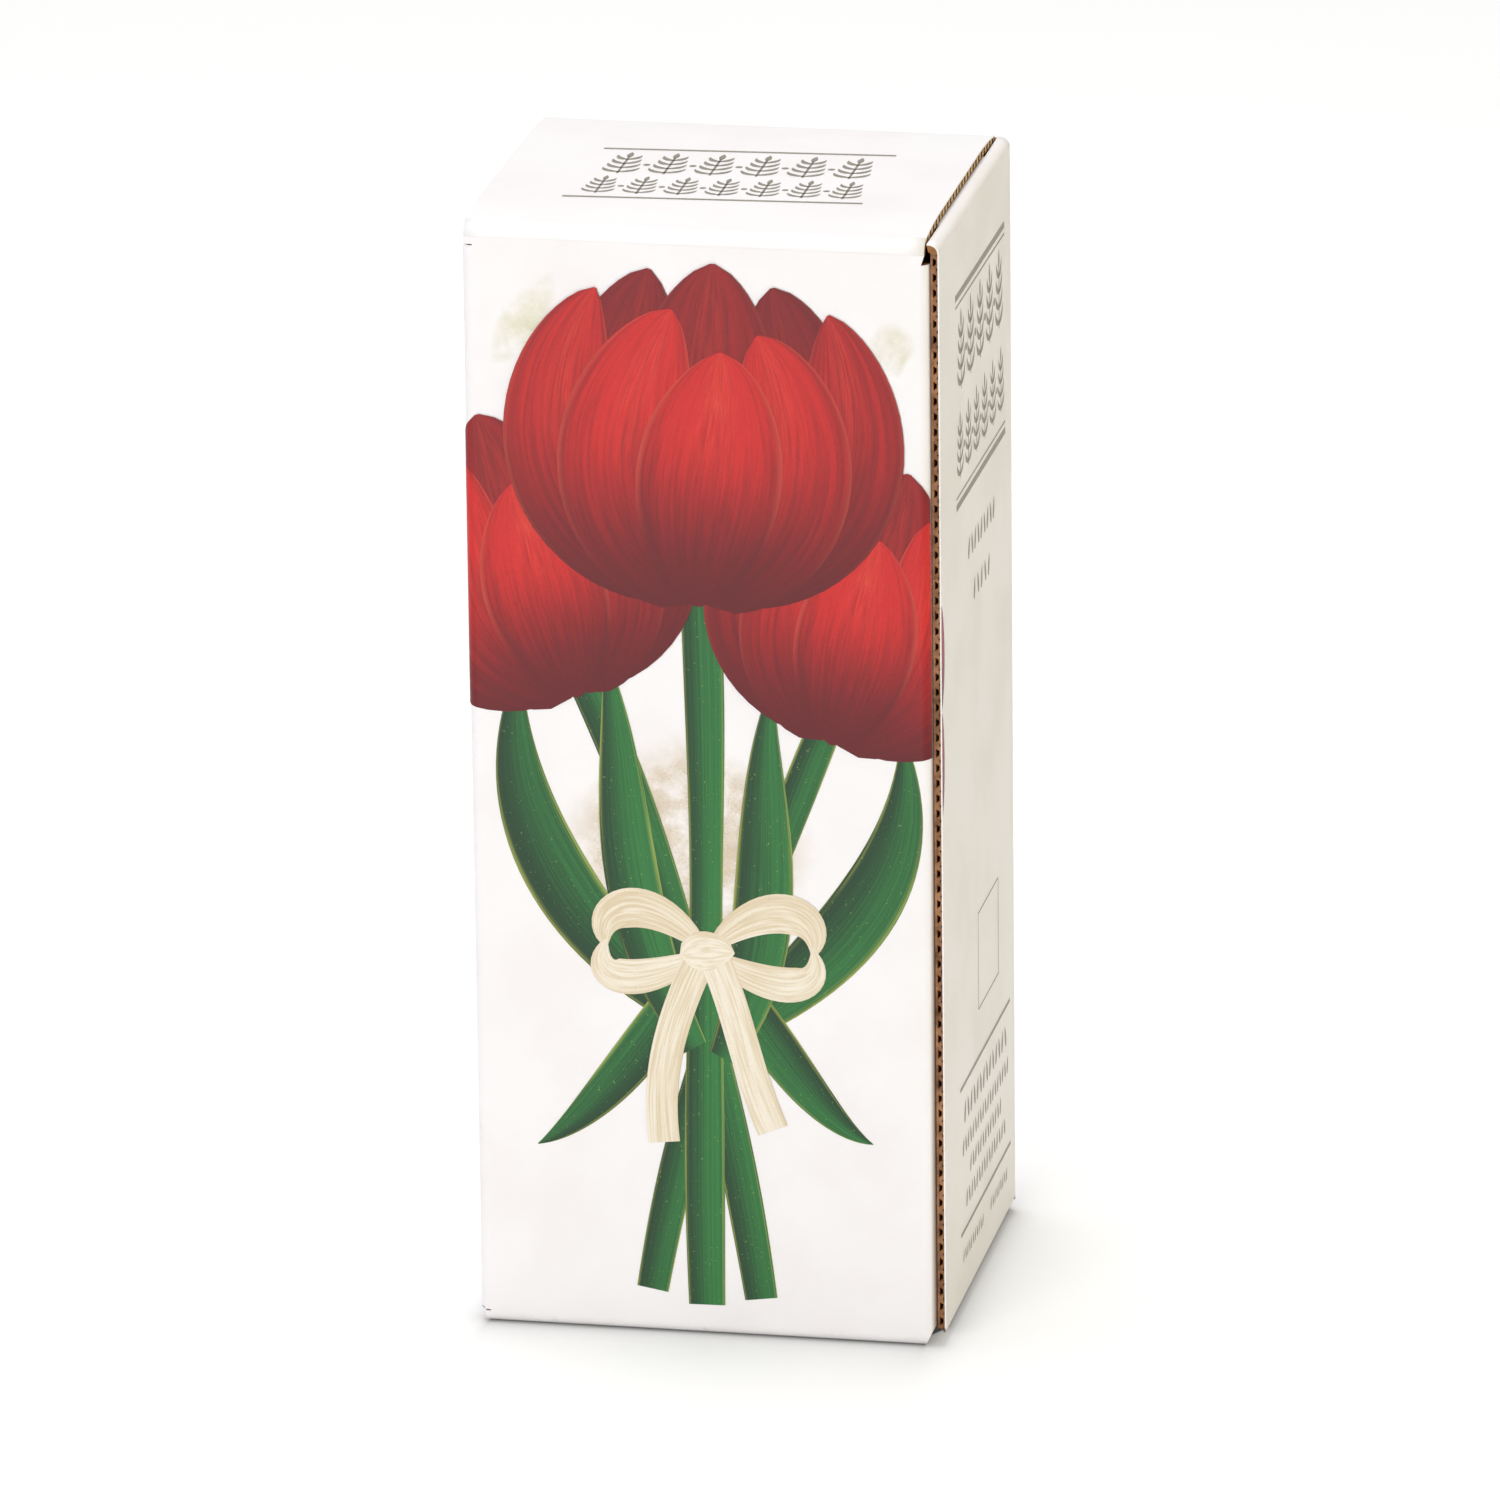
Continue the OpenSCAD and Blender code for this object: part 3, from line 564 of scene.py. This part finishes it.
class Print:
    """Flat shapes of one ink, drawn on a plane and then laid on the carton."""

    def __init__(self):
        self.bm = bmesh.new()
        self.uv = self.bm.loops.layers.uv.new("UVMap")
        self.tone = self.bm.verts.layers.float.new("tone")

    def blade(self, points, width, profile, tone=0.5, lift=0.0, rows=18, columns=6):
        """A shape along a curve, in millimetres. Its points are its root, its controls and its tip."""
        verts = bmesh.ops.create_grid(
            self.bm, x_segments=columns, y_segments=rows, size=0.5, calc_uvs=True)["verts"]
        for vert in verts:
            u, v = vert.co.x, vert.co.y + 0.5
            at, way = bezier(points, v)
            side = Vector((way.y, -way.x))
            spot = at + side * (u * width * profile(v))
            vert.co = Vector((spot.x * MM, spot.y * MM, lift))
            vert[self.tone] = tone

    def line(self, start, end, width):
        start, end = Vector(start), Vector(end)
        self.blade([start, (start + end) / 2, end], width, level,
                   rows=max(2, int((end - start).length / 6)), columns=1)

    def cut(self, at, way=1, trim=False):
        """Cuts the print along an upright line, and where asked leaves off what lies past it."""
        bmesh.ops.bisect_plane(
            self.bm, geom=self.bm.verts[:] + self.bm.edges[:] + self.bm.faces[:],
            plane_co=(at, 0, 0), plane_no=(way, 0, 0), clear_outer=trim)

    def lay(self, name, where, finish, body, low=None, high=None, cuts=()):
        """Trims the print to its wall, cuts it where it bends, lays it on and makes it a piece."""
        for limit, way in ((low, -1), (high, 1)):
            if limit is not None:
                self.cut(limit, way, trim=True)
        for bend in cuts:
            self.cut(bend)
        for vert in self.bm.verts:
            vert.co = where(vert.co.x, vert.co.y, INK_LIFT + vert.co.z)
        outward = where(0, 0.1, 1) - where(0, 0.1, 0)
        for face in self.bm.faces:
            face.normal_update()
        turned_in = [f for f in self.bm.faces if f.normal.dot(outward) < -0.2]
        bmesh.ops.reverse_faces(self.bm, faces=turned_in)
        made = piece(name, self.bm, finish, body, smooth=False)


def bezier(points, v):
    """The point and the unit tangent at v on the Bezier curve of plane points."""
    line = [Vector(p) for p in points]
    while len(line) > 2:
        line = [a.lerp(b, v) for a, b in zip(line, line[1:])]
    way = line[1] - line[0]
    return line[0].lerp(line[1], v), way.normalized()


# The share of a blade's width at v, from 0 at its root to 1 at its tip

def level(v):
    return 1.0


def petal_profile(v, fullness=0.62):
    return max(0.004, math.sin(math.pi * v ** 0.85)) ** fullness


def side_petal_profile(v):
    return petal_profile(v, 0.7)


def leaf_profile(v):
    return max(0.01, math.sin(math.pi * (0.12 + 0.88 * v) ** 0.9)) ** 0.9


def disc_profile(v):
    return 2 * math.sqrt(max(0.0, v * (1 - v)))


def stem_profile(v):
    return 1.0 + 0.10 * math.sin(v * 9)


PETALS = [
    # root, controls and tip in shares of the flower's height, width, tone
    ([(-0.05, 0.05), (-0.34, 0.40), (-0.24, 0.75), (-0.17, 1.00)], 0.40, 0.22),
    ([(0.05, 0.05), (0.36, 0.40), (0.27, 0.75), (0.20, 0.97)], 0.40, 0.16),
    ([(0.00, 0.05), (-0.02, 0.45), (0.02, 0.80), (0.02, 1.03)], 0.46, 0.30),
    ([(-0.06, 0.00), (-0.52, 0.22), (-0.46, 0.68), (-0.33, 0.93)], 0.37, 0.62),
    ([(0.06, 0.00), (0.54, 0.22), (0.46, 0.66), (0.37, 0.90)], 0.36, 0.48),
    ([(-0.02, -0.02), (-0.34, 0.26), (-0.22, 0.62), (-0.10, 0.88)], 0.42, 0.84),
    ([(0.03, -0.02), (0.34, 0.24), (0.28, 0.60), (0.16, 0.82)], 0.40, 0.70),
    ([(0.00, -0.03), (0.00, 0.30), (0.06, 0.56), (0.05, 0.76)], 0.44, 1.00),
]
SIDE_PETALS = (3, 4)


def tulip(ink, at, height, lean, layer, hand=1):
    """A tulip head that leans to the right by lean degrees, or its mirror image with a hand of -1."""
    cosine, sine = math.cos(math.radians(lean)), math.sin(math.radians(lean))
    for index, (points, width, tone) in enumerate(PETALS):
        line = []
        for x, y in points:
            x, y = x * height * hand, y * height
            line.append((at[0] + x * cosine + y * sine, at[1] - x * sine + y * cosine))
        profile = side_petal_profile if index in SIDE_PETALS else petal_profile
        ink.blade(line, width * height, profile, tone, (layer + index) * INK_LAYER, rows=26, columns=10)


def tulips(where, name, low, high, cuts=()):
    """Three red tulips with their leaves, tied with a pale ribbon."""
    beige, yellow, leaf, ribbon, petal = Print(), Print(), Print(), Print(), Print()
    beige.blade([(-4, 84), (-4, 112), (-4, 140)], 62, disc_profile, rows=30, columns=12)
    yellow.blade([(-46, 217), (-38, 226), (-31, 240)], 12, disc_profile, rows=16)
    yellow.blade([(36, 222), (42, 226), (47, 224)], 14, disc_profile, rows=16)
    stems = [
        # from the foot up to the flower, width, tone
        ([(11, 9), (4, 60), (-8, 110), (-27, 150)], 7.2, 0.55),
        ([(-13, 10), (-4, 62), (12, 104), (27, 142)], 7.0, 0.45),
        ([(-1, 7), (-2, 70), (2, 120), (-1, 176)], 8.0, 0.85),
    ]
    leaves_behind = [
        ([(-6, 74), (-34, 96), (-46, 122), (-40, 152)], 15, 0.35),
        ([(5, 70), (34, 92), (47, 112), (43, 140)], 15, 0.45),
        ([(2, 92), (-10, 70), (-26, 48), (-38, 42)], 10, 0.40),
        ([(-2, 92), (12, 72), (24, 50), (36, 46)], 10, 0.55),
    ]
    leaves_before = [
        ([(-3, 66), (-22, 98), (-16, 128), (-22, 156)], 12, 0.75),
        ([(3, 64), (18, 92), (10, 122), (15, 150)], 13, 0.65),
    ]
    for blades, profile, layer, rows in (
            (leaves_behind, leaf_profile, 1, 30), (stems, stem_profile, 6, 40),
            (leaves_before, leaf_profile, 10, 30)):
        for index, (points, width, tone) in enumerate(blades):
            leaf.blade(points, width, profile, tone, (layer + index) * INK_LAYER, rows=rows)
    # four loops and two ends, with a knot over them
    ribbons = [
        ([(0, 88), (-14, 104), (-26, 96), (-22, 88)], 9, 0.3),
        ([(0, 88), (-16, 78), (-27, 80), (-22, 90)], 8, 0.8),
        ([(0, 88), (14, 104), (27, 97), (23, 88)], 9, 0.4),
        ([(0, 88), (15, 78), (27, 80), (23, 90)], 8, 0.7),
        ([(-1, 88), (-7, 74), (-12, 62), (-10, 44)], 7, 0.6),
        ([(1, 88), (7, 74), (8, 62), (14, 48)], 7, 0.9),
    ]
    for index, (points, width, tone) in enumerate(ribbons):
        profile = side_petal_profile if index < 4 else level
        ribbon.blade(points, width, profile, tone, (14 + index) * INK_LAYER, rows=22)
    ribbon.blade([(-6, 87), (0, 89), (6, 88)], 9, petal_profile, 1.0, 21 * INK_LAYER, rows=12)
    tulip(petal, (-28, 146), 62, -20, 22)
    tulip(petal, (28, 138), 60, 17, 22, -1)
    tulip(petal, (-1, 168), 72, 2, 32)
    for ink, ink_name, finish in (
            (beige, "beige", BEIGE_WASH), (yellow, "yellow", YELLOW_WASH), (leaf, "leaf", LEAF),
            (ribbon, "ribbon", RIBBON), (petal, "petal", PETAL)):
        ink.lay(f"{name}_{ink_name}", where, finish, "carton", low=low, high=high, cuts=cuts)


def petal_tips(name):
    """The tips of the right tulip's petals, which reach over the seam on to the right wall."""
    ink = Print()
    ink.blade([(-46.5, 118), (-42.6, 128), (-43.4, 144)], 4.6, petal_profile, 0.25, rows=20)
    ink.blade([(-47.0, 142), (-41.4, 153), (-43.6, 168)], 5.4, petal_profile, 0.35, INK_LAYER, rows=20)
    ink.lay(name, on_right, PETAL, "carton", low=-HALF_D + 1.15 * MM)


def sprig(ink, x, foot, height, spread, pairs=4):
    """An upright stalk with pairs of pointed leaves and a leaf at its tip, in millimetres."""
    stalk = 0.78 * height
    gap = stalk / pairs
    leaf_w = 0.42 * gap
    top = foot + stalk
    ink.blade([(x, foot), (x, (foot + top) / 2), (x, top)], 0.55, level, rows=6, columns=1)
    for index in range(pairs):
        root = foot + gap * (index + 0.35)
        reach = spread * (1 - 0.45 * index / pairs)
        for hand in (-1, 1):
            bend = (x + hand * reach * 0.85, root + gap * 0.15)
            tip = (x + hand * reach, root + gap * 1.05)
            ink.blade([(x, root), bend, tip], leaf_w, leaf_profile, rows=8, columns=2)
    ink.blade([(x, top - 0.1 * gap), (x, top + 0.1 * height), (x, foot + height)],
              leaf_w, leaf_profile, rows=8, columns=2)


def sprig_row(ink, centre, width, foot, height, count):
    """Upright sprigs in a row, with a berry between each two."""
    pitch = width / count
    for index in range(count):
        x = centre + pitch * (index - (count - 1) / 2)
        sprig(ink, x, foot, height, 0.40 * pitch)
        if index:
            left, berry, size = x - pitch / 2, foot + 0.42 * height, 0.16 * pitch
            ink.blade([(left, berry - size / 2), (left, berry), (left, berry + size / 2)],
                      size, disc_profile, rows=10, columns=4)


RULE_GAP = 1.3


def rules(ink, centre, width, at, thick, thin=0.0, way=-1):
    """A thick rule and, where asked, a thin one below it, or above it with a way of 1."""
    left, right = centre - width / 2, centre + width / 2
    ink.line((left, at), (right, at), thick)
    if thin:
        beside = at + way * (thick / 2 + RULE_GAP)
        ink.line((left, beside), (right, beside), thin)


def small_row(ink, centre, width, at, height):
    """A row of small upright leaves."""
    count = int(width / (0.75 * height))
    for index in range(count):
        x = centre + width * ((index + 0.5) / count - 0.5)
        lean = 0.12 * height * (-1) ** index
        ink.blade([(x - lean, at - height / 2), (x, at), (x + lean, at + height / 2)],
                  0.34 * height, leaf_profile, rows=6, columns=2)


def side_print(where, name):
    """The print of a side wall, from its top block of sprigs to the small lines at its foot."""
    ink = Print()
    rules(ink, 5, 60, 230.5, 1.5, 0.5)
    sprig_row(ink, 5, 58, 209, 18, 5)
    sprig_row(ink, 5, 60, 189.5, 15, 6)
    rules(ink, 5, 60, 184, 1.5, 0.5, way=1)
    small_row(ink, 5, 34, 171, 5)
    small_row(ink, 5, 22, 160, 5)
    box = [(-2, 63), (23, 63), (23, 85), (-2, 85)]
    for start, end in zip(box, box[1:] + box[:1]):
        ink.line(start, end, 0.4)
    rules(ink, 6, 62, 52, 0.9)
    small_row(ink, 6, 54, 45.5, 5)
    small_row(ink, 6, 58, 38, 4)
    small_row(ink, 6, 40, 31.5, 4)
    small_row(ink, 6, 50, 25, 4)
    rules(ink, 6, 62, 18.5, 0.9)
    small_row(ink, -10, 26, 13, 3)
    small_row(ink, 22, 22, 13, 3)
    ink.lay(name, where, RULE, "carton")


def lid_print():
    """The lid's two rows of sprigs between two rules, a little askew as in the photo."""
    ink = Print()
    rules(ink, -0.5, 63.5, 15, 1.1)
    sprig_row(ink, -0.5, 60, -4.5, 17, 6)
    sprig_row(ink, -0.5, 62, -20.5, 14, 7)
    rules(ink, -1.2, 64.5, -23.6, 1.1)
    ink.lay("lid_print_rules", on_lid_askew, RULE, "lid")


tulips(on_front, "front_print", LEFT_END_S, SEAM_END_S, BENDS)
tulips(on_back, "back_print", -HALF_W + BACK_MARGIN, HALF_W - BACK_MARGIN)
petal_tips("right_print_petal")
side_print(on_right, "right_print_rules")
side_print(on_left, "left_print_rules")
lid_print()


# Camera, floor and light

# The camera as solved from the photo's corners of the carton
CAMERA_AZIMUTH = math.radians(11.2197)
CAMERA_ELEVATION = math.radians(17.9973)
CAMERA_ROLL = math.radians(-0.6652)
CAMERA_TARGET = Vector((0.9438 * MM, 0, 119.2668 * MM))
CAMERA_DISTANCE = 2883.34 * MM
CAMERA_LENS = 317.893
SENSOR_W = 36

SKY_LIGHT = 0.25
FLOOR_GLOW = 0.35
FLOOR_HALF = 6
FLOOR_GREY = (0.80, 0.80, 0.80, 1)

# The painted shadow where the carton meets the floor, drawn into the floor's colour and glow: how far
# its edge lies within the carton's outline, how far it reaches and how dark it is
FOOT_INSET_X = 2.0 * MM
FOOT_INSET_Y = 2.2 * MM
SEAM_CORNER_INSET = 3.0 * MM
LINE_REACH, LINE_SHARE = 1.7 * MM, 0.62
SHADE_REACH, SHADE_SHARE = 14 * MM, 0.28
bpy.context.scene.view_settings.view_transform = "Standard"


def look(thing, at, way, up):
    """Turns a camera or a lamp so that it looks along way, with up at its top."""
    back = -Vector(way).normalized()
    right = Vector(up).cross(back).normalized()
    over = back.cross(right)
    thing.matrix_world = Matrix((
        (right.x, over.x, back.x, at[0]), (right.y, over.y, back.y, at[1]),
        (right.z, over.z, back.z, at[2]), (0, 0, 0, 1)))


def make_camera():
    level_share = math.cos(CAMERA_ELEVATION)
    back = Vector((math.sin(CAMERA_AZIMUTH) * level_share, -math.cos(CAMERA_AZIMUTH) * level_share,
                   math.sin(CAMERA_ELEVATION)))
    data = bpy.data.cameras.new("camera")
    data.lens, data.sensor_width = CAMERA_LENS, SENSOR_W
    data.clip_start, data.clip_end = 0.1, 50
    camera = bpy.data.objects.new("camera", data)
    bpy.context.scene.collection.objects.link(camera)
    right = (-back).cross(UP).normalized()
    up = right.cross(-back)
    up = math.cos(CAMERA_ROLL) * up - math.sin(CAMERA_ROLL) * right
    look(camera, CAMERA_TARGET + back * CAMERA_DISTANCE, -back, up)
    bpy.context.scene.camera = camera


def lamp(name, at, target, size, power, tint=(1, 1, 1)):
    """A round lamp at a point, which shines at a target."""
    data = bpy.data.lights.new(name, "AREA")
    data.shape, data.size, data.energy, data.color = "DISK", size, power, tint
    made = bpy.data.objects.new(name, data)
    bpy.context.scene.collection.objects.link(made)
    look(made, at, Vector(target) - Vector(at), (0, 0.01, 1))


def white_behind(tree, seen, other):
    """A grey that the camera, glass and gloss see, and another that lights the object."""
    path = tree.nodes.new("ShaderNodeLightPath")
    total = None
    for name in ("Is Camera Ray", "Is Glossy Ray", "Is Transmission Ray"):
        if total is None:
            total = path.outputs[name]
            continue
        either = tree.nodes.new("ShaderNodeMath")
        either.operation = "MAXIMUM"
        tree.links.new(total, either.inputs[0])
        tree.links.new(path.outputs[name], either.inputs[1])
        total = either.outputs[0]
    pick = tree.nodes.new("ShaderNodeMix")
    pick.data_type = "FLOAT"
    tree.links.new(total, pick.inputs[0])
    pick.inputs[2].default_value, pick.inputs[3].default_value = other, seen
    return pick.outputs[0]


def make_world():
    world = bpy.data.worlds.new("studio")
    world.use_nodes = True
    bpy.context.scene.world = world
    tree = world.node_tree
    background = tree.nodes["Background"]
    background.inputs["Strength"].default_value = 1.0
    tree.links.new(white_behind(tree, 1.0, SKY_LIGHT), background.inputs["Color"])


def make_floor():
    bm = bmesh.new()
    bmesh.ops.create_grid(bm, x_segments=1, y_segments=1, size=FLOOR_HALF)
    finish = Finish("floor", roughness=1.0, Specular_IOR_Level=0.0)
    x, y, _ = finish.apart(finish.place())
    corner = y.ramp(-HALF_D + 14 * MM, -HALF_D + 6 * MM, 0.0, SEAM_CORNER_INSET) * x.ramp(0.0, 1 * MM)
    # Beside the carton the shadow is four times as tight as in front of it
    beside = (abs(x) + corner - (HALF_W - FOOT_INSET_X)).most(0.0) * 4
    before = (abs(y) - (HALF_D - FOOT_INSET_Y)).most(0.0)
    away = (beside * beside + before * before).root()
    # Painted shadow: a dark line at the carton's foot and a soft shade further out darken the floor's
    # colour and its glow
    painted_shadow_line = (away * (-1 / LINE_REACH)).exponent() * LINE_SHARE
    painted_soft_shadow = (away * (-1 / SHADE_REACH)).exponent() * SHADE_SHARE
    open_share = 1 - painted_shadow_line - painted_soft_shadow
    finish.set(Base_Color=finish.mix(open_share, (0, 0, 0, 1), FLOOR_GREY))
    tree = finish.tree
    glow = Wire(finish, white_behind(tree, FLOOR_GLOW, 0.0)) * open_share
    finish.join(glow, finish.shader.inputs["Emission Color"])
    finish.shader.inputs["Emission Strength"].default_value = 1.0
    piece("floor", bm, finish.material, smooth=False)


make_camera()
make_world()
make_floor()
lamp("key", (-0.9, -2.75, 0.7), (0, 0, 0.12), 1.5, 46)
lamp("top", (-0.2, 0.25, 2.6), (0, 0, 0.2), 1.6, 42)
lamp("side", (2.6, -0.5, 0.55), (0, 0, 0.12), 1.2, 17, (1.0, 0.88, 0.46))
